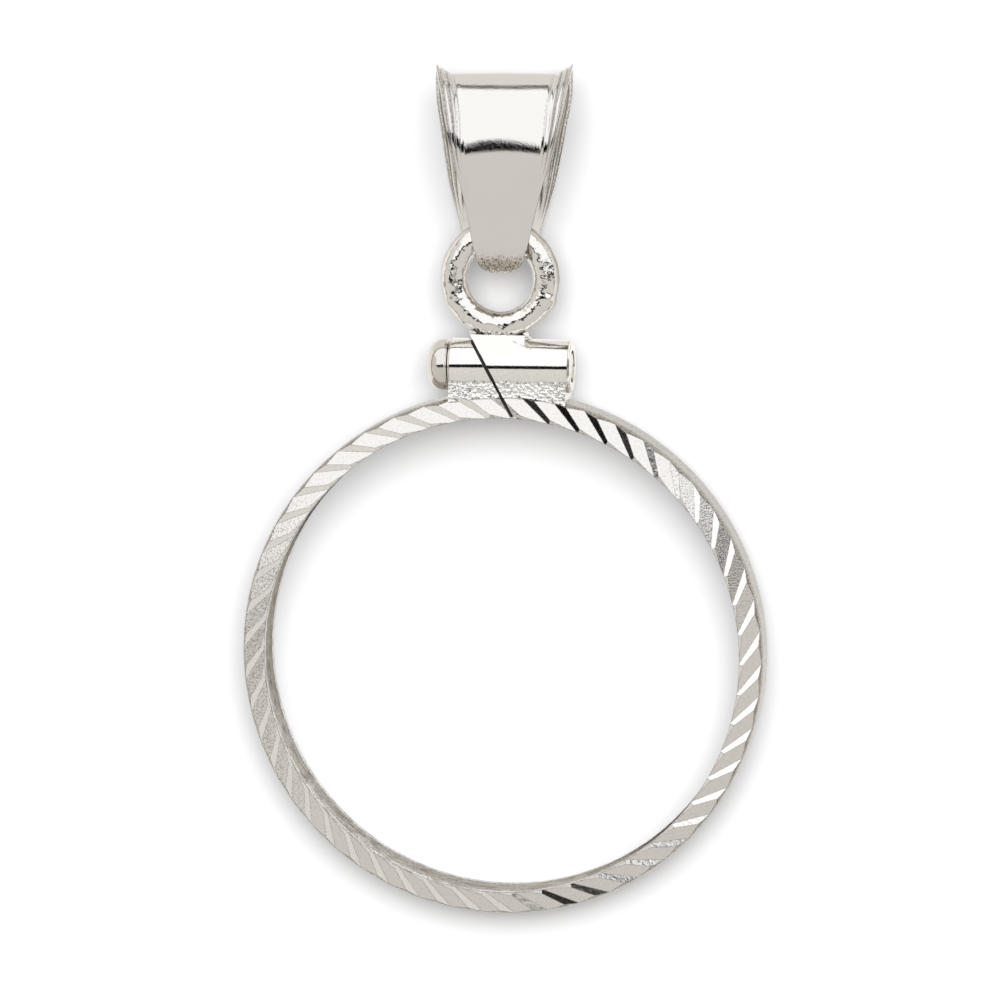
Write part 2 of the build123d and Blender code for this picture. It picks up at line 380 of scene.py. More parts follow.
screw_silver, _, _ = silver("turned_silver", 0.09, [(0.35, 0.004, 1.0), (0.07, 0.003, 2.0)], SCREW)
ring_silver, add, shader = silver("tumbled_silver_wire", 0.08, [(0.12, 0.008, 2.0)])
wire_normal = add("TexCoord").outputs["Normal"]
wire_up = add("SeparateXYZ", {0: wire_normal}).outputs["Z"]
wire_up = add("Math", {0: wire_up}, operation="ABSOLUTE")
on_wire = {}
# Painted shade: the wire's sides, found by which way they face, are darkened.
add_masks(add, on_wire, [("side", wire_up, 0.66, 0.16)])
feed(shader, {"Base Color": lay_colours(add, on_wire, WIRE, [("side", 1.0, WIRE_SIDE_SHADE)])})
print("finishes", screw_silver.name, ring_silver.name)

# %% [markdown]
# ## The soldered frame
#
# The frame is one piece of metal with many finishes. A diamond tool cuts the facets of the rim: the
# wide ones keep a fine, sandy grain, and the narrow ones are bright. The rim's outside is as it was
# cast, and its groove still shows the lathe. The tube is polished. Between tube and rim sits solder
# that was never polished. One material holds them all and tells them apart by where a point is and
# which way it faces, as a jeweller would, so each finish stops exactly at its edge.

# %% Tell the frame's surfaces apart
RIM_OUTSIDE = 8.66
RIM_ENDS = (RIM_OUTSIDE + 0.03) * MM
RIM_IS_FULL = (RIM_OUTSIDE + 0.01) * MM

frame_silver, add, shader = silver("soldered_and_diamond_cut_silver", 0.08, [])
here = add("TexCoord").outputs
place = here["Object"]
parts = add("SeparateXYZ", {0: place}).outputs
flat_place = add("CombineXYZ", {"X": parts["X"], "Y": parts["Y"]})
radius = add("VectorMath", {0: flat_place}, operation="LENGTH")
outwards = add("VectorMath", {0: flat_place}, operation="NORMALIZE")
around = add("VectorMath", ((0, 0, 1), outwards), operation="CROSS_PRODUCT")
lean, twist = (
    add("VectorMath", (here["Normal"], way), operation="DOT_PRODUCT")
    for way in (outwards, around)
)
on_frame = {}
add_masks(
    add, on_frame,
    [
        ("rim", radius, RIM_ENDS, RIM_IS_FULL),
        ("past the land", lean, 0.12, 0.20),
        ("before the outside", lean, 0.50, 0.42),
        ("turned", twist, 0.08, 0.12),
        ("leaning out", lean, 0.50, 0.70),
        ("leaning in", lean, -0.40, -0.70),
    ],
    [
        ("leaning", "past the land", "before the outside"),
        ("wide cut", "leaning", "rim"),
        ("narrow cut", "turned", "rim"),
        ("outside", "leaning out", "rim"),
        ("groove", "leaning in", "rim"),
    ],
)
print("surfaces of the frame", len(on_frame))

# %% [markdown]
# The grain of each surface is real, but the finest is a few hundredths of a millimetre and would not
# show in a picture, so it is drawn about twice as coarse. A bevel node rounds every edge by a few
# hundredths too: an edge that is not quite sharp catches a thin line of the room, dark or bright.

# %% The grain of each surface
EDGE_ROUNDING = 0.03
NARROW_LEAN = 0.02       # how far the narrow facets lean further inwards, as a slope
SOLDER_TOP = 9.16        # mm up from the coin's centre, where the grainy solder ends on the tube
SOLDER_EDGE = 0.12       # how sharply it ends
SOLDER_RAGGED = 0.25     # the size and reach of its ragged line
SOLDER_SHIFT = 0.20      # what the ragged line needs to lie at the solder's top
# Each row: a surface, or None for all of the frame, its grain in mm, the grain's depth in mm, how
# ragged it is, and how many times finer it is along the rim's axis.
GRAINS = [
    (None, 0.14, 0.0009, 1.0, 1.0),
    ("wide cut", 0.06, 0.0070, 2.0, 1.0),
    ("narrow cut", 0.08, 0.0005, 2.0, 1.0),
    ("outside", 0.28, 0.0300, 3.0, 0.6),
    ("outside", 0.07, 0.0100, 2.0, 1.0),
    ("groove", 0.50, 0.0200, 1.0, 6.0),
    ("groove", 0.08, 0.0100, 2.0, 1.0),
    ("solder", 0.11, 0.0400, 3.0, 1.0),
]

ragged = add("TexNoise", {"Vector": place, "Scale": 1 / (SOLDER_RAGGED * MM), "Detail": 2.0})
ragged_height = add("Math", (ragged, SOLDER_RAGGED * MM, parts["Y"]), operation="MULTIPLY_ADD")
solder_line = SOLDER_TOP + SOLDER_SHIFT
on_frame["off the rim"] = add("Math", (1.0, on_frame["rim"]), operation="SUBTRACT")
add_masks(
    add, on_frame,
    [("below the tube", ragged_height, solder_line * MM, (solder_line - SOLDER_EDGE) * MM)],
    [("solder", "below the tube", "off the rim")],
)

rounded_normal = add("Bevel", {"Radius": EDGE_ROUNDING * MM}, samples=4)
steeper = add("Math", (on_frame["narrow cut"], -NARROW_LEAN), operation="MULTIPLY")
inwards = add("VectorMath", {0: outwards, "Scale": steeper}, operation="SCALE")
leant = add("VectorMath", (rounded_normal, inwards), operation="ADD")
normal = add("VectorMath", {0: leant}, operation="NORMALIZE")
for name, size, depth, ragged_by, stretch in GRAINS:
    squeezed = add("VectorMath", (place, (1.0, 1.0, stretch)), operation="MULTIPLY")
    pattern = add("TexNoise", {"Vector": squeezed, "Scale": 1 / (size * MM), "Detail": ragged_by})
    distance = depth * MM
    if name:
        distance = add("Math", (on_frame[name], distance), operation="MULTIPLY")
    inputs = {"Height": pattern, "Distance": distance, "Strength": 1.0, "Normal": normal}
    normal = add("Bump", inputs)
feed(shader, {"Normal": normal})
print("grains", len(GRAINS))

# %% [markdown]
# Colour and gloss follow the same surfaces. The sandy facets trap a little light, the cast outside
# and the groove trap more, and grime stays in pits. A painted dark line runs along every edge, as
# painted shade for the dark that the rounded edges reflect. The walls that the saw left get painted
# shade, the dark of the narrow cut, and the wall of the drilled bore is painted darker: the cut is a
# thin slab round its plane, and the bore a thin cylinder round the tube's axis.

# %% Grime, painted shade on the edges and in the saw cut, and the bore
SAW_PLACE = Vector((-0.66, 9.55, 0.0))
SAW_SLANT = radians(28)
SAW_LEAN = radians(9.3)
SAW_WIDTH = 0.09
BORE_RADIUS = 0.53
WALL_EDGE = 0.012        # where the dark of a wall begins, off the wall
WALL_FULL = 0.004        # and where it is full
PIT_SIZE = 0.055
LATHE_SIZE = 0.4         # along a line, in mm
LATHE_STRETCH = 9.0

SAW_NORMAL = Vector((cos(SAW_LEAN) * cos(SAW_SLANT), cos(SAW_LEAN) * sin(SAW_SLANT), -sin(SAW_LEAN)))
from_saw = add("VectorMath", (place, SAW_PLACE * MM), operation="SUBTRACT")
saw_distance = add("VectorMath", (from_saw, SAW_NORMAL), operation="DOT_PRODUCT")
saw_distance = add("Math", {0: saw_distance}, operation="ABSOLUTE")
across_tube = add("VectorMath", (from_saw, (0, 1, 1)), operation="MULTIPLY")
bore_distance = add("VectorMath", {0: across_tube}, operation="LENGTH")
edge_turn = add("VectorMath", (rounded_normal, here["Normal"]), operation="DOT_PRODUCT")
lathe = add("VectorMath", (place, (1.0, 1.0, LATHE_STRETCH)), operation="MULTIPLY")
pits, lathe_lines = (
    add("TexNoise", {"Vector": spot, "Scale": 1 / (size * MM), "Detail": 2.0})
    for spot, size in ((place, PIT_SIZE), (lathe, LATHE_SIZE))
)
on_frame["upper half"] = add("Math", (parts["Y"], 0.0), operation="GREATER_THAN")
on_frame["raggedness"] = add("MapRange", {"Value": pits, "From Min": 0.40, "From Max": 0.60, "To Min": 0.45})
saw_wall = SAW_WIDTH / 2
add_masks(
    add, on_frame,
    [
        ("saw wall", saw_distance, (saw_wall + WALL_EDGE) * MM, (saw_wall + WALL_FULL) * MM),
        ("bore", bore_distance, (BORE_RADIUS + WALL_EDGE) * MM, (BORE_RADIUS + WALL_FULL) * MM),
        ("edge", edge_turn, 0.9995, 0.992),
        ("pit", pits, 0.50, 0.58),
        ("lathe line", lathe_lines, 0.48, 0.54),
        ("worn left", parts["X"], -6.0 * MM, -7.8 * MM),
    ],
    [
        ("saw cut", "saw wall", "upper half"),
        ("ragged edge", "edge", "raggedness"),
        ("pit of the outside", "pit", "outside"),
        ("pit of the groove", "pit", "groove"),
        ("lathe line of the groove", "lathe line", "groove"),
        ("pit of the left", "pit", "worn left"),
        ("pit of the left of the wide cut", "pit of the left", "wide cut"),
    ],
)

# %% Colour and gloss of each surface
# Each row: a surface, how strongly it takes the tone, and the tone.
TONES = [
    ("wide cut", 1.0, "#E9E6E3"),
    # Dark specks over the wide facets of the rim's far left.
    ("pit of the left of the wide cut", 0.45, "#7C756C"),
    ("outside", 1.0, "#BDB9B2"),
    ("groove", 1.0, SILVER),
    ("lathe line of the groove", 0.80, "#5E574F"),
    ("pit", 0.10, "#8B847A"),
    ("pit of the outside", 0.65, "#6E675E"),
    ("pit of the groove", 0.55, "#6E675E"),
    # A painted dark line along every edge: painted shade for the dark that rounded edges reflect.
    ("ragged edge", 1.0, "#5E574F"),
    # Painted shade on the walls of the narrow saw cut.
    ("saw cut", 1.0, "#4A443E"),
    # The bore's wall is painted darker.
    ("bore", 1.0, "#8B8579"),
]
# The groove's lathe-torn skin scatters part of the light as a chalky surface does.
GROOVE_METAL = 0.7
# Each row: a surface and its roughness.
GLOSSES = [("wide cut", 0.13), ("outside", 0.24), ("groove", 0.34), ("solder", 0.18)]
GLOSS_ELSEWHERE = 0.08

gloss = GLOSS_ELSEWHERE
for name, roughness in GLOSSES:
    gloss = add("Mix", {0: on_frame[name], 2: gloss, 3: roughness})
metal = add("Mix", {0: on_frame["groove"], 2: 1.0, 3: GROOVE_METAL})
tone = lay_colours(add, on_frame, SILVER, TONES)
feed(shader, {"Base Color": tone, "Roughness": gloss, "Metallic": metal})

bezel_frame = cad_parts["bezel_frame"]
bezel_frame.data.materials.clear()
bezel_frame.data.materials.append(frame_silver)
print("frame finish nodes", len(frame_silver.node_tree.nodes))

# %% [markdown]
# ## The bail's finish
#
# The bail is rolled sheet, polished on the wheel after it was bent. The wheel never reached the
# inside of the loop, which keeps the dull skin of rolled sheet, nor the solder that joins the tips.
# A point lies inside when the surface there faces the loop's middle.

# %% Sheet silver, dull inside and grainy at the tip
SHEET = "#EAE7E4"
SHEET_INSIDE = "#D5D0C8"
TIP_TONE = "#D6CFC5"
TIP_PIT_AND_SHADE = "#4A443C"
BAIL_MIDDLE = Vector((-0.15, 16.5, 0.0))
BAIL_WAVES = [(0.9, 0.004, 1.0), (0.06, 0.0018, 2.0)]
BAIL_GLOSS = 0.05        # the roughness of the polished sheet
INSIDE_GLOSS = 0.24
TIP_GLOSS = 0.22
BAIL_EDGE_ROUNDING = 0.04
TIP_SOLDER_TOP = 13.32   # mm up from the coin's centre
TIP_SOLDER_EDGE = 0.25
TIP_SHIFT = 0.25         # what the ragged line needs to lie at the solder's top
TIP_RAGGED_SIZE = 0.15
TIP_RAGGED_REACH = 0.5
LUMP_SIZE = 0.06
LUMP_DEPTH = 0.020
# Painted shade: dark lines along the bail's edges and ridges, for the dark that rounded edges reflect.
EDGE_SHADE = 0.6
# Painted shade: dark lumps on the flanks that face sideways.
FLANK_SHADE = 0.6

bail_silver, add, shader = silver("rouge_polished_silver_sheet", BAIL_GLOSS, BAIL_WAVES)
here = add("TexCoord").outputs
from_middle = add("VectorMath", (here["Object"], BAIL_MIDDLE * MM), operation="SUBTRACT")
facing = add("VectorMath", (from_middle, here["Normal"]), operation="DOT_PRODUCT")
height = add("SeparateXYZ", {0: here["Object"]}).outputs["Y"]
ragged, lumps = (
    add("TexNoise", {"Vector": here["Object"], "Scale": 1 / (size * MM), "Detail": 2.0})
    for size in (TIP_RAGGED_SIZE, LUMP_SIZE)
)
ragged_height = add("Math", (ragged, TIP_RAGGED_REACH * MM, height), operation="MULTIPLY_ADD")
rounded = add("Bevel", {"Radius": BAIL_EDGE_ROUNDING * MM}, samples=4)
edge_turn = add("VectorMath", (rounded, here["Normal"]), operation="DOT_PRODUCT")
sideways = add("SeparateXYZ", {0: here["Normal"]}).outputs["X"]
sideways = add("Math", {0: sideways}, operation="ABSOLUTE")
tip_line = TIP_SOLDER_TOP + TIP_SHIFT
on_bail = {}
add_masks(
    add, on_bail,
    [
        ("inside", facing, 0.2 * MM, -0.1 * MM),
        ("tip", ragged_height, tip_line * MM, (tip_line - TIP_SOLDER_EDGE) * MM),
        ("pit", lumps, 0.52, 0.60),
        ("lump", lumps, 0.38, 0.56),
        ("edge", edge_turn, 0.998, 0.97),
        ("flank", sideways, 0.30, 0.75),
    ],
    [("lump of the flank", "flank", "lump")],
)
tone = lay_colours(add, on_bail, SHEET, [
    ("inside", 1.0, SHEET_INSIDE),
    # Painted shade along the edges.
    ("edge", EDGE_SHADE, TIP_PIT_AND_SHADE),
    # Painted shade on the flanks.
    ("lump of the flank", FLANK_SHADE, TIP_PIT_AND_SHADE),
    ("tip", 1.0, lay_colours(add, on_bail, TIP_TONE, [("pit", 1.0, TIP_PIT_AND_SHADE)])),
])
gloss = add("Mix", {0: on_bail["inside"], 2: BAIL_GLOSS, 3: INSIDE_GLOSS})
gloss = add("Mix", {0: on_bail["tip"], 2: gloss, 3: TIP_GLOSS})
depth = add("Math", (on_bail["tip"], LUMP_DEPTH * MM), operation="MULTIPLY")
waves = shader.inputs["Normal"].links[0].from_socket
grain = add("Bump", {"Height": lumps, "Distance": depth, "Strength": 1.0, "Normal": waves})
feed(shader, {"Base Color": tone, "Roughness": gloss, "Normal": grain})
print("bail finish nodes", len(bail_silver.node_tree.nodes))

# %% [markdown]
# ## The bail
#
# The bail starts as a flat leaf of sheet. A stamp raises two ridges along each edge and turns the
# edges outwards, and then the leaf is bent into a loop and its tips are soldered together. So it is
# made here in the same order: a section across the leaf, whose width and relief follow a short
# table, is carried round the loop. Smooth curves through the tables' rows give it a sheet's flow.

# %% The bail's tables and sizes
BAIL_HEIGHT = 6.62
BAIL_DEPTH = 3.16
BAIL_WIDTH = 4.52
BAIL_SHEET = 0.30
FLARE_WIDTH = 0.58
FLARE_RISE = 0.228
FLARE_TOP = 0.050        # added to the rise at the loop's top
GROOVE_DEPTH = 0.055
PLAIN_EDGE = 0.35
SEAM_SHARE = 0.05
BAIL_PLACE = Vector((-0.15, 12.592, 0.0))
BAIL_TURN = radians(7.3)
BAIL_LEAN = 0.021        # to the right, per mm of height
TIP_HEIGHT = 0.80        # over the loop's bottom, where the filed tip begins
TIP_WIDTH = 1.64         # there
TIP_LEAST = 0.16
TIP_SOLDER = 0.05
TIP_GRAIN = 0.12
TIP_NOISE = (0.8, 2.0, 3)   # how fast the layers of noise fade, how much finer each is, how many
THINNED = 0.78           # share of the sheet's thickness that the stamp leaves at its edge
LIP_FRONT = 0.12         # where the rounded edge begins and ends, as shares of the thickness
LIP_BACK = 0.65
LOOP_STEPS = 8
PANEL_STEPS = 12

# The loop seen from the side. Each row: share of the height, share of half of the depth.
LOOP_SIDE = [
    (0.000, 0.00), (0.018, 0.30), (0.060, 0.50), (0.120, 0.61), (0.200, 0.68), (0.300, 0.76),
    (0.420, 0.86), (0.540, 0.95), (0.645, 1.00), (0.760, 0.95), (0.870, 0.77), (0.950, 0.49),
    (0.988, 0.25), (1.000, 0.00),
]

# The leaf laid flat. Each row: share of its half length from the middle, share of the width, share
# of the relief.
LEAF_OUTLINE = [
    (0.00, 1.00, 1.0), (0.12, 0.985, 1.0), (0.24, 0.92, 1.0), (0.36, 0.85, 0.9), (0.47, 0.775, 0.55),
    (0.56, 0.69, 0.15), (0.64, 0.60, 0.0), (0.77, 0.495, 0.0), (0.87, 0.425, 0.0), (0.94, 0.375, 0.0),
    (1.00, 0.34, 0.0),
]

# Across one stamped edge. Each row: share of the way out, share of the rise, share of the groove.
EDGE_PROFILE = [
    (0.00, 0.00, 0.0), (0.04, 0.00, 0.5), (0.08, 0.01, 0.0), (0.14, 0.03, 0.0), (0.22, 0.07, 0.0),
    (0.31, 0.16, 0.0), (0.38, 0.26, 0.0),
    (0.42, 0.31, 0.5), (0.45, 0.34, 1.0), (0.48, 0.37, 0.5), (0.53, 0.43, 0.0), (0.62, 0.53, 0.0),
    (0.71, 0.63, 0.0), (0.75, 0.68, 0.5), (0.79, 0.72, 1.0), (0.83, 0.77, 0.5), (0.88, 0.85, 0.0),
    (0.94, 0.93, 0.0), (0.985, 0.99, 0.0),
]

# How far the panel's sides fall back from its middle. Each row: share of the height, mm.
CROWN = [
    (0.00, 0.0), (0.40, 0.0), (0.50, -0.022), (0.57, -0.026), (0.65, 0.0), (0.73, 0.028), (0.80, 0.036),
    (0.88, 0.030), (0.95, 0.022), (1.00, 0.020),
]
print("bail rows", len(LOOP_SIDE), len(LEAF_OUTLINE), len(EDGE_PROFILE), len(CROWN))

# %% Smooth curves through a table
def through(p0, p1, p2, p3, t):
    """A point between p1 and p2 on the smooth curve through all four."""
    return 0.5 * (
        2 * p1 + (p2 - p0) * t + (2 * p0 - 5 * p1 + 4 * p2 - p3) * t * t
        + (3 * p1 - p0 - 3 * p2 + p3) * t ** 3
    )


def look_up(rows, share, column):
    """A smooth value from a table whose first column rises."""
    last = len(rows) - 1
    i = max(k for k in range(last) if rows[k][0] <= share)
    t = (share - rows[i][0]) / (rows[i + 1][0] - rows[i][0])
    near = [rows[min(max(k, 0), last)][column] for k in (i - 1, i, i + 1, i + 2)]
    return through(*near, min(t, 1.0))


def loop_line():
    """Points round the loop's outside as (y, z) vectors in mm, from the bottom up the front."""
    front = [Vector((h * BAIL_HEIGHT, d * BAIL_DEPTH / 2)) for h, d in LOOP_SIDE]
    rough = front + [Vector((p.x, -p.y)) for p in reversed(front[1:-1])]
    count = len(rough)
    line = []
    for i in range(count):
        four = [rough[(i + k) % count] for k in (-1, 0, 1, 2)]
        line += [through(*four, step / LOOP_STEPS) for step in range(LOOP_STEPS)]
    return line


# %% Carry the leaf's section round the loop
def leaf_section(centre, outwards, width, relief):
    """One closed section across the leaf, at a point of the loop, as vectors in mm."""
    half_width = width / 2
    panel = half_width - FLARE_WIDTH * (PLAIN_EDGE + (1 - PLAIN_EDGE) * relief)
    crown = look_up(CROWN, centre.x / BAIL_HEIGHT, 1)
    flare_rise = FLARE_RISE + FLARE_TOP * max(0.0, outwards.x) ** 2
    outside = []
    for k in range(PANEL_STEPS):
        share = k / PANEL_STEPS
        outside.append((panel * share, -crown * share ** 2))
    for across, rise, groove in EDGE_PROFILE:
        out = relief * (rise * flare_rise - groove * GROOVE_DEPTH) - crown * (1 - across) ** 2
        outside.append((panel + across * (half_width - panel), out))
    lip = relief * flare_rise
    rounded = [(half_width, lip - share * BAIL_SHEET) for share in (LIP_FRONT, LIP_BACK)]
    inside = []
    for x, out in reversed(outside):
        thinned = THINNED + (1 - THINNED) * min(1.0, (half_width - x) / FLARE_WIDTH)
        inside.append((x, out - thinned * BAIL_SHEET))
    right = outside + rounded + inside
    around = right + [(-x, out) for x, out in reversed(right[1:-1])]
    return [Vector((x, centre.x + out * outwards.x, centre.y + out * outwards.y)) for x, out in around]


def tip_width(height):
    """The width left by the file near the loop's bottom, where the soldered tips are rounded off."""
    below = 1 - max(height / TIP_HEIGHT, 0.0)
    return TIP_LEAST + (TIP_WIDTH - TIP_LEAST) * sqrt(1 - below ** 2)


def solder_swell(point, height):
    """How far the solder on the tips stands out at a point, in mm."""
    fade = max(0.0, 1 - height / (TIP_HEIGHT + 0.1)) ** 0.5
    return TIP_SOLDER * fade * noise.fractal(point / TIP_GRAIN, *TIP_NOISE)


def bail_mesh():
    line = loop_line()
    count = len(line)
    lengths = [0.0]
    for i in range(count):
        lengths.append(lengths[-1] + (line[(i + 1) % count] - line[i]).length)
    place = (
        Matrix.Translation(BAIL_PLACE)
        @ Matrix.Rotation(BAIL_TURN, 4, "Y")
        @ Matrix.Shear("XZ", 4, (BAIL_LEAN, 0.0))
    )
    vertices = []
    for i in range(count):
        along = (line[(i + 1) % count] - line[i - 1]).normalized()
        outwards = Vector((-along.y, along.x))
        from_seam = (lengths[i] / lengths[-1] - SEAM_SHARE) % 1.0
        share = abs(from_seam - 0.5) * 2
        width = BAIL_WIDTH * look_up(LEAF_OUTLINE, share, 1)
        relief = max(0.0, look_up(LEAF_OUTLINE, share, 2))
        if line[i].x < TIP_HEIGHT:
            width = min(width, tip_width(line[i].x))
        section = leaf_section(line[i], outwards, width, relief)
        push = Vector((0, outwards.x, outwards.y))
        section = [p + push * min(0.0, solder_swell(p, line[i].x)) for p in section]
        vertices += [place @ p * MM for p in section]
    return vertices, skin_faces(count, len(vertices) // count)


bail = mesh_piece("stamped_bail", *bail_mesh(), bail_silver)
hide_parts("bail")
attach(bail, "bezel")

# %% [markdown]
# ## The jump ring
#
# The ring is drawn wire, bent, soldered shut and tumbled. Its skin is never quite even, and that is
# what breaks the black line of the room into ragged strokes. So it gets a real skin: a fine ring a
# hair larger than the plain one, pushed out by noise that runs along the wire, with the drops and
# the hairline seam that the solder left.

# %% The jump ring's skin
RING_PLACE = Vector((-0.15, 12.42, 0.0))
RING_RADIUS = 1.53
WIRE_RADIUS = 0.432
SKIN_SWELL = 0.013
SKIN_OVER = 0.004        # how far over the plain wire the skin lies
SKIN_GRAIN = 0.22
SKIN_NOISE = (0.7, 2.0, 3)
SKIN_LEAST = -0.008
SEAM_ANGLE = 270         # degrees round the ring
SEAM_WIDTH = 0.045
SEAM_DEPTH = 0.03
SEAM_TURN = 12           # degrees round the ring that it slants from the wire's inside to its front
RING_STEPS = 260
WIRE_STEPS = 60
# Drops of solder on the ring. Each row: degrees round the ring, degrees round the wire from its
# outside towards the front, size in mm, height in mm.
DROPS = [
    (204, 42, 0.17, 0.07), (-25, 28, 0.25, 0.075), (-84, 60, 0.16, 0.03), (262, 100, 0.10, 0.03),
    (-20, 60, 0.12, 0.04),
]


def ring_point(angle, around, swell):
    radial = RING_RADIUS + (WIRE_RADIUS + swell) * cos(around)
    height = (WIRE_RADIUS + swell) * sin(around)
    return RING_PLACE + Vector((radial * cos(angle), radial * sin(angle), height))


def seam_dip(angle, around):
    """How deep the hairline seam is at a place of the ring, on the inner front of the wire."""
    on_front = max(0.0, sin(around)) ** 0.5 * max(0.0, 0.3 - cos(around))
    seam = radians(SEAM_ANGLE + SEAM_TURN * cos(around))
    away = (angle - seam) * RING_RADIUS / SEAM_WIDTH
    return SEAM_DEPTH * on_front * exp(-away * away)


def ring_mesh():
    drops = [(ring_point(radians(a), radians(b), 0), size, height) for a, b, size, height in DROPS]
    vertices = []
    for i in range(RING_STEPS):
        for k in range(WIRE_STEPS):
            angle = tau * i / RING_STEPS
            around = tau * k / WIRE_STEPS
            plain = ring_point(angle, around, 0)
            swell = SKIN_SWELL * noise.fractal(plain / SKIN_GRAIN, *SKIN_NOISE) + SKIN_OVER
            for centre, size, height in drops:
                swell += height * exp(-((plain - centre).length / size) ** 2)
            swell = max(swell - seam_dip(angle, around), SKIN_LEAST)
            vertices.append(ring_point(angle, around, swell) * MM)
    return vertices, skin_faces(RING_STEPS, WIRE_STEPS)


ring = mesh_piece("tumbled_jump_ring", *ring_mesh(), ring_silver)
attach(ring, "bezel")

# %% [markdown]
# ## The solder
#
# Solder fills the joint between the tube and the rim and the foot of the jump ring. It set in small
# lumps and pits and was left as it is. Each fill is a lumpy skin over the plain solder of the
# engineering model: a grid of points along the tube, pushed out by noise. The saw cut goes through
# it, so each skin ends on the saw's own plane.

# %% Sizes of the solder and a grid that the saw parts
TUBE_RADIUS = 0.88
BED_LEFT = -1.76
BED_RIGHT = 2.12
BED_TOP = 9.18
BED_TOP_DEPTH = 0.785
BED_WAIST = 0.035
BED_FOOT_RADIUS = 8.585
BED_FOOT_DEPTH = 0.835
BED_LUMPS = 0.026
BED_GRAIN = 0.11
BED_STEPS = 38
COLLAR_LEFT = -1.30
COLLAR_RIGHT = 0.95
COLLAR_FOOT = 0.80
COLLAR_TOP = 0.47
COLLAR_RISE = 0.185
COLLAR_SUNK = 0.005      # how far its top lies in the plain solder; its foot lies twice as far in
COLLAR_END = 8           # the powers by which its rise ends and its side runs out
COLLAR_RUNOUT = 5
COLLAR_STEPS = 20        # up its side, and then over its top
COLLAR_TOP_STEPS = 6
COLLAR_LUMPS = 0.016
COLLAR_GRAIN = 0.16
COLLAR_PUSH = (0.3, 0.95)   # which way its sides are pushed out, as y and z
SOLDER_STEP = 0.018
SOLDER_NOISE = (0.7, 2.0, 4)
LUMPS_ALONG = 0.85       # how close together the lumps lie along the tube and up, against across
LUMPS_UP = 1.1
SOLDER_MIDDLE = 9.0      # mm up from the coin's centre, where a bar's length is measured

# Dark in the solder: painted shade along the crease where the collar meets the ring, a dark spot at
# the collar's corner, and dirt as specks in the bed. Noise is added, up to a reach in mm, to make the
# first two ragged.
CREASE = 10.655          # mm up from the coin's centre, half the reach over the crease
CREASE_EDGE = 0.02
CREASE_REACH = 0.10
CORNER_SPOT = Vector((0.90, 10.42, 0.62))
SPOT_STARTS = 0.19
SPOT_IS_FULL = 0.16
SPOT_REACH = 0.16
SPECK_SIZE = 0.07
SPECK_SHARE = 0.45       # how dark a speck of dirt is
SOLDER_TONE = "#F0EEEA"
SOLDER_DIRT_AND_SHADE = "#3A352F"

solder_silver, add, shader = silver("unpolished_silver_solder", 0.14, [(0.07, 0.006, 2.0)])
place = add("TexCoord").outputs["Object"]
specks = add("TexNoise", {"Vector": place, "Scale": 1 / (SPECK_SIZE * MM), "Detail": 3.0})
up = add("SeparateXYZ", {0: place}).outputs["Y"]
to_spot = add("VectorMath", (place, CORNER_SPOT * MM), operation="DISTANCE")
ragged_up, ragged_spot = (
    add("Math", (specks, reach * MM, measure), operation="MULTIPLY_ADD")
    for reach, measure in ((CREASE_REACH, up), (SPOT_REACH, to_spot))
)
on_solder = {"share": SPECK_SHARE}
add_masks(
    add, on_solder,
    [
        ("speck", specks, 0.56, 0.66),
        ("bed", up, 9.4 * MM, 9.2 * MM),
        # Painted shade along the crease under the ring.
        ("crease", ragged_up, CREASE * MM, (CREASE + CREASE_EDGE) * MM),
        ("spot", ragged_spot, SPOT_STARTS * MM, SPOT_IS_FULL * MM),
    ],
    [("speck of the bed", "speck", "bed"), ("dirt", "speck of the bed", "share")],
)
for name in ("crease", "spot"):
    on_solder["dirt"] = add("Math", (on_solder["dirt"], on_solder[name]), operation="MAXIMUM")
tone = lay_colours(add, on_solder, SOLDER_TONE, [("dirt", 1.0, SOLDER_DIRT_AND_SHADE)])
feed(shader, {"Base Color": tone})


def saw_side(y, z, side):
    """Where the saw's left (-1) or right (1) wall crosses the line along X through y and z."""
    wall = side * SAW_WIDTH / 2
    return SAW_PLACE.x + (wall - (y - SAW_PLACE.y) * SAW_NORMAL.y - z * SAW_NORMAL.z) / SAW_NORMAL.x


def solder_skin(name, left, right, section, lumps, grain):
    """A lumpy bar along X. left and right give x for a point (y, z), and section(x) the points."""
    start = left(SOLDER_MIDDLE, 0.0)
    end = right(SOLDER_MIDDLE, 0.0)
    count = max(2, int((end - start) / SOLDER_STEP))
    vertices = []
    for i in range(count + 1):
        share = i / count
        plain = section(start * (1 - share) + end * share)
        for y, z, out_y, out_z, weight in plain:
            x = left(y, z) * (1 - share) + right(y, z) * share
            layered = Vector((LUMPS_ALONG * x, LUMPS_UP * y, z)) / grain
            push = lumps * weight * noise.fractal(layered, *SOLDER_NOISE)
            vertices.append(Vector((x, y + push * out_y, z + push * out_z)) * MM)
    piece = mesh_piece(name, vertices, bar_faces(count + 1, len(plain)), solder_silver)
    piece.data.set_sharp_from_angle(angle=radians(60))
    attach(piece, "bezel")


# %% The bed between tube and rim
def both_faces(front):
    """A closed section from its front points, each (y, z, push y, push z, weight), mirrored behind."""
    return front + [(y, -z, out_y, -out_z, weight) for y, z, out_y, out_z, weight in reversed(front)]


def bed_section(x):
    """A hollow curve from the tube down to the rim, whose lumps fade out towards both."""
    foot = sqrt(BED_FOOT_RADIUS ** 2 - x ** 2)
    front = []
    for k in range(BED_STEPS + 1):
        share = k / BED_STEPS
        y = BED_TOP + (foot - BED_TOP) * share
        z = BED_TOP_DEPTH + (BED_FOOT_DEPTH - BED_TOP_DEPTH) * share
        z -= BED_WAIST * sin(pi * share ** 0.5)
        front.append((y, z, 0.0, 1.0, min(1.0, 4 * share, 6 * (1 - share))))
    return both_faces(front)


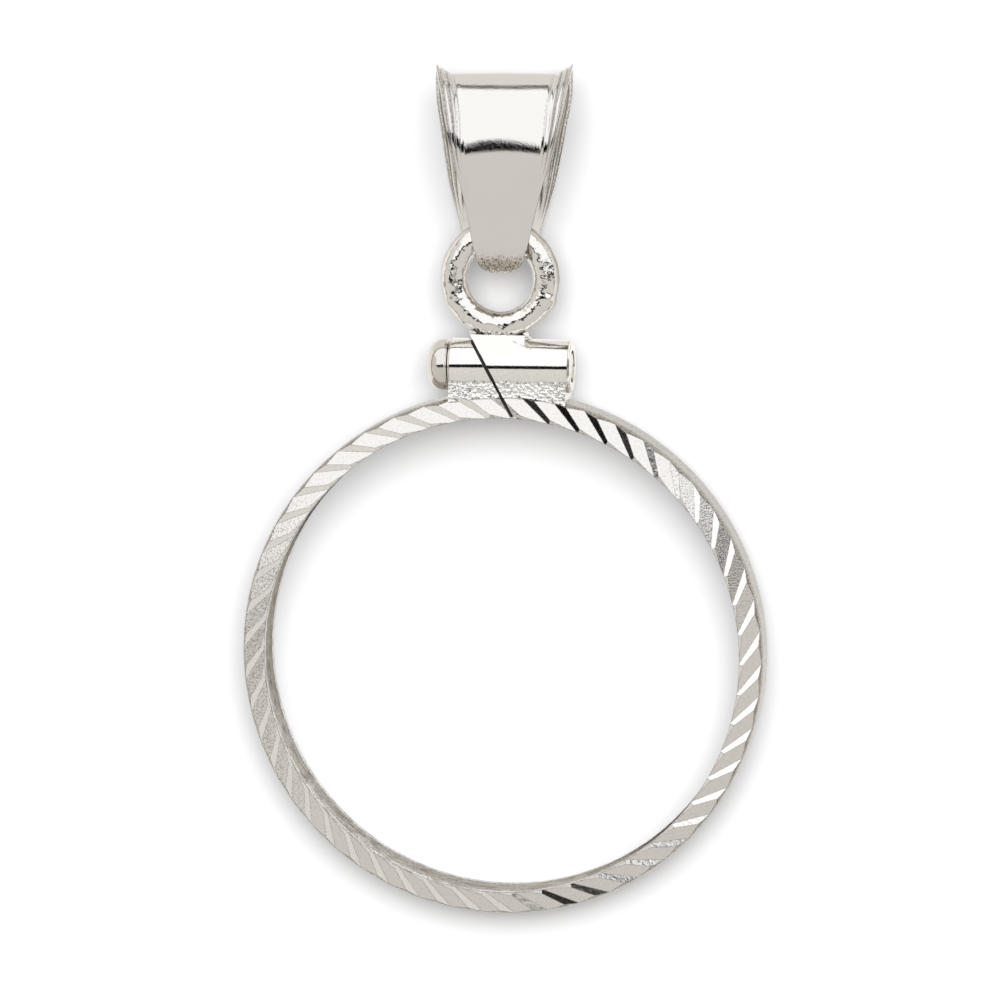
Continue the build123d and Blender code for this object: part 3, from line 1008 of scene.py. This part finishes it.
solder_skin("solder_bed_left", lambda y, z: BED_LEFT, lambda y, z: saw_side(y, z, -1), bed_section,
            BED_LUMPS, BED_GRAIN)
solder_skin("solder_bed_right", lambda y, z: saw_side(y, z, 1), lambda y, z: BED_RIGHT, bed_section,
            BED_LUMPS, BED_GRAIN)


# %% The collar under the jump ring
def collar_section(x):
    """Plain solder over the tube, which runs out into the tube's own round towards the right."""
    middle = (COLLAR_LEFT + COLLAR_RIGHT) / 2
    from_middle = (x - middle) / (COLLAR_RIGHT - middle)
    fullness = 1 - min(abs(from_middle), 1.0) ** COLLAR_END
    blend = 1 - max(0.0, min(from_middle, 1.0)) ** COLLAR_RUNOUT
    foot = sqrt(TUBE_RADIUS ** 2 - COLLAR_FOOT ** 2) - 2 * COLLAR_SUNK
    top = TUBE_RADIUS + COLLAR_RISE * fullness - COLLAR_SUNK
    front = []
    for k in range(COLLAR_STEPS + 1):
        share = k / COLLAR_STEPS
        up = foot + (top - foot) * share
        on_tube = sqrt(max(TUBE_RADIUS ** 2 - up ** 2, 0.0))
        plain = COLLAR_FOOT + (COLLAR_TOP - COLLAR_FOOT) * share
        out = on_tube + (plain - on_tube) * blend
        front.append((SAW_PLACE.y + up, out, *COLLAR_PUSH, min(1.0, 5 * share)))
    last = front[-1][1]
    for k in range(1, COLLAR_TOP_STEPS):
        front.append((SAW_PLACE.y + top, last * (1 - k / COLLAR_TOP_STEPS), 1.0, 0.0, 1.0))
    return both_faces(front)


solder_skin("solder_collar", lambda y, z: saw_side(y, z, 1), lambda y, z: COLLAR_RIGHT, collar_section,
            COLLAR_LUMPS, COLLAR_GRAIN)


# %% [markdown]
# ## Painted shade in the saw cut
#
# The saw cut shows as a solid black line from the tube's top to the rim's inside: the shade deep in a
# narrow slot. So dark plates of painted shade fill the slot, a little below the surface: one plate
# follows the section of rim and solder, and one ring the wall of the tube. Both lie in the saw's
# plane and touch neither of its walls.

# %% Fill the cut with painted shade
CUT_SHADE = "#161412"
CUT_SHADE_SPECK = "#2A2622"
SHADE_SPECK_SIZE = 0.06
SHADE_PLATE_SHARE = 0.9        # of the cut's width

# The plates' near-black colour, with lighter specks from noise, is painted shade.
cut_shade, add, shader = new_material("painted_shade_in_the_saw_cut", {"Roughness": 0.85})
place = add("TexCoord").outputs["Object"]
shade_specks = add("TexNoise", {"Vector": place, "Scale": 1 / (SHADE_SPECK_SIZE * MM), "Detail": 2.0})
tone = lay_colours(add, {"shade speck": shade_specks}, CUT_SHADE, [("shade speck", 1.0, CUT_SHADE_SPECK)])
feed(shader, {"Base Color": tone})

# The plate's outline on its front half, from the groove round the lip to under the bore. Each row:
# y and z in mm.
SHADE_PLATE_OUTLINE = [
    (8.35, 0.00), (8.35, 0.66), (7.94, 0.66), (7.94, 0.80), (8.42, 0.70), (8.60, 0.62), (8.78, 0.66),
    (8.97, 0.62), (8.97, 0.00),
]
SHADE_PLATE_BORE = 0.56
SHADE_PLATE_OUTSIDE = 0.81
SHADE_PLATE_STEPS = 48


def shade_plate(name, loop, faces):
    """A thin plate in the saw's plane. Each point (y, z) of its loop lies on both its sides."""
    vertices = []
    for side in (-SHADE_PLATE_SHARE, SHADE_PLATE_SHARE):
        for y, z in loop:
            vertices.append(Vector((saw_side(y, z, side), y, z)) * MM)
    piece = mesh_piece(name, vertices, faces, cut_shade)
    piece.data.shade_flat()
    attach(piece, "bezel")


def washer_faces(steps):
    """Faces of a washer whose loop runs once round the bore and then once round the outside."""
    faces = []
    for k in range(steps):
        after = (k + 1) % steps
        for a, b in ((0, 1), (1, 3), (3, 2), (2, 0)):
            faces.append((a * steps + k, a * steps + after, b * steps + after, b * steps + k))
    return faces


shade_plate_loop = SHADE_PLATE_OUTLINE + [(y, -z) for y, z in reversed(SHADE_PLATE_OUTLINE[1:-1])]
shade_plate("painted_shade_in_the_rim_cut", shade_plate_loop, bar_faces(2, len(shade_plate_loop)))
shade_plate_washer = [
    (SAW_PLACE.y + r * cos(tau * k / SHADE_PLATE_STEPS), r * sin(tau * k / SHADE_PLATE_STEPS))
    for r in (SHADE_PLATE_BORE, SHADE_PLATE_OUTSIDE)
    for k in range(SHADE_PLATE_STEPS)
]
shade_plate("painted_shade_in_the_tube_cut", shade_plate_washer, washer_faces(SHADE_PLATE_STEPS))

# %% [markdown]
# ## The screw
#
# The screw is turned from rod: a domed head with a saw slot, and a shank with a fine thread. The
# head is a turned outline, spun round its axis and cut by a bar. The thread repeats, so Geometry
# Nodes makes it: a spiral line, with a small diamond carried along it, half sunk in a plain core.

# %% The head
SCREW_Y = 9.55
TUBE_LEFT = -1.80
HEAD_GAP = 0.03
HEAD_RADIUS = 0.86
HEAD_LENGTH = 0.69
HEAD_ROUND = 0.52
HEAD_CHAMFER = 0.04
SLOT_SOFTNESS = 0.015
SLOT_WIDTH = 0.20
SLOT_DEPTH = 0.20
SCREW_RADIUS = 0.50
THREAD_ROOT = 0.42
THREAD_PITCH = 0.25
SCREW_TIP = 2.23
HEAD_SPIN = 96
HEAD_STEPS = 20          # round its edge
THREAD_STEPS = 48        # in one turn
THREAD_CORNERS = 4       # of the diamond
SOFT_FROM = radians(40)  # edges that turn more than this are softened
SHARP_FROM = radians(35)


def head_outline():
    """Points (x, radius) in mm from under the head, over its rounded side, to its flat end."""
    under = TUBE_LEFT - HEAD_GAP
    centre = under - HEAD_LENGTH + HEAD_ROUND
    flat = HEAD_RADIUS - HEAD_ROUND
    rim = (under - HEAD_CHAMFER, HEAD_RADIUS)
    points = [(under, 0.0), (under, HEAD_RADIUS - HEAD_CHAMFER), rim]
    for k in range(HEAD_STEPS + 1):
        angle = pi / 2 * k / HEAD_STEPS
        points.append((centre - HEAD_ROUND * sin(angle), flat + HEAD_ROUND * cos(angle)))
    return points + [(centre - HEAD_ROUND, 0.0)]


def spun(outline, y, steps):
    """Spins points (x, radius) round a line along X. The outline's ends lie on that line."""
    vertices = []
    for k in range(steps):
        turn_angle = tau * k / steps
        for x, r in outline:
            vertices.append(Vector((x, y + r * cos(turn_angle), r * sin(turn_angle))) * MM)
    return vertices, skin_faces(steps, len(outline), points_close=False)


head = mesh_piece("screw_head", *spun(head_outline(), SCREW_Y, HEAD_SPIN), screw_silver)
head_top = TUBE_LEFT - HEAD_GAP - HEAD_LENGTH
bar_mesh = bpy.data.meshes.new("slot_bar")
bar_shell = bmesh.new()
bmesh.ops.create_cube(bar_shell, size=1.0)
bar_size = Matrix.Diagonal((2 * SLOT_DEPTH * MM, 3 * HEAD_RADIUS * MM, SLOT_WIDTH * MM, 1.0))
bar_place = Matrix.Translation(Vector((head_top, SCREW_Y, 0.0)) * MM)
bmesh.ops.transform(bar_shell, matrix=bar_place @ bar_size, verts=bar_shell.verts)
bar_shell.to_mesh(bar_mesh)
bar_shell.free()
bar = add_object("slot_bar", bar_mesh)
cut = head.modifiers.new("slot", "BOOLEAN")
cut.operation = "DIFFERENCE"
cut.object = bar
cut.solver = "EXACT"
soften = head.modifiers.new("soften", "BEVEL")
soften.width = SLOT_SOFTNESS * MM
soften.segments = 2
soften.limit_method = "ANGLE"
soften.angle_limit = SOFT_FROM


def bake(piece):
    """Turns a piece's modifiers into plain mesh and takes them off."""
    graph = bpy.context.evaluated_depsgraph_get()
    baked = bpy.data.meshes.new_from_object(piece.evaluated_get(graph))
    piece.modifiers.clear()
    piece.data = baked
    baked.shade_smooth()
    print(piece.name, len(baked.polygons), "faces")


bake(head)
bpy.data.objects.remove(bar)
head.data.set_sharp_from_angle(angle=SHARP_FROM)

# %% The thread, by Geometry Nodes
def thread_tree():
    tree = bpy.data.node_groups.new("screw_thread", "GeometryNodeTree")
    for name in ("Start", "Length", "Root", "Crest", "Pitch", "Height"):
        socket = tree.interface.new_socket(name, in_out="INPUT", socket_type="NodeSocketFloat")
        socket.default_value = 0.001
    tree.interface.new_socket("Material", in_out="INPUT", socket_type="NodeSocketMaterial")
    tree.interface.new_socket("Geometry", in_out="OUTPUT", socket_type="NodeSocketGeometry")
    add = partial(add_node, tree)
    given = add("NodeGroupInput").outputs
    turns = add("Math", (given["Length"], given["Pitch"]), operation="DIVIDE")
    spiral = add(
        "GeometryNodeCurveSpiral",
        {"Resolution": THREAD_STEPS, "Rotations": turns, "Start Radius": given["Root"],
         "End Radius": given["Root"], "Height": given["Length"]},
    )
    depth = add("Math", (given["Crest"], given["Root"]), operation="SUBTRACT")
    tooth = add("GeometryNodeCurvePrimitiveCircle", {"Resolution": THREAD_CORNERS, "Radius": depth})
    ridge = add("GeometryNodeCurveToMesh", {"Curve": spiral, "Profile Curve": tooth, "Fill Caps": True})
    core = add(
        "GeometryNodeMeshCylinder",
        {"Vertices": THREAD_STEPS, "Side Segments": 1, "Radius": given["Root"], "Depth": given["Length"]},
    )
    middle = add("Math", (given["Length"], 0.5), operation="MULTIPLY")
    lift = add("CombineXYZ", {"Z": middle})
    raised = add("GeometryNodeTransform", {"Geometry": core, "Translation": lift})
    both = add("GeometryNodeJoinGeometry", {0: ridge})
    feed(both, {0: raised})
    corner = add("CombineXYZ", {"X": given["Start"], "Y": given["Height"]})
    placed = add(
        "GeometryNodeTransform",
        {"Geometry": both, "Translation": corner, "Rotation": (0.0, pi / 2, 0.0)},
    )
    plain = add("GeometryNodeRealizeInstances", {"Geometry": placed})
    finished = add("GeometryNodeSetMaterial", {"Geometry": plain, "Material": given["Material"]})
    add("NodeGroupOutput", {0: finished})
    return tree


def grown(name, tree, values):
    """An object whose mesh a Geometry Nodes tree makes from the named values."""
    piece = add_object(name, bpy.data.meshes.new(name))
    growth = piece.modifiers.new(name, "NODES")
    growth.node_group = tree
    for item in tree.interface.items_tree:
        if item.name in values and item.in_out == "INPUT":
            growth[item.identifier] = values[item.name]
    bake(piece)
    return piece


shank_start = TUBE_LEFT - HEAD_GAP
thread = grown(
    "screw_thread",
    thread_tree(),
    {
        "Start": shank_start * MM,
        "Length": (SCREW_TIP - shank_start) * MM,
        "Root": THREAD_ROOT * MM,
        "Crest": SCREW_RADIUS * MM,
        "Pitch": THREAD_PITCH * MM,
        "Height": SCREW_Y * MM,
        "Material": screw_silver,
    },
)
thread.data.set_sharp_from_angle(angle=SHARP_FROM)
for piece in (head, thread):
    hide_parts("clasp_screw")
    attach(piece, "screw")
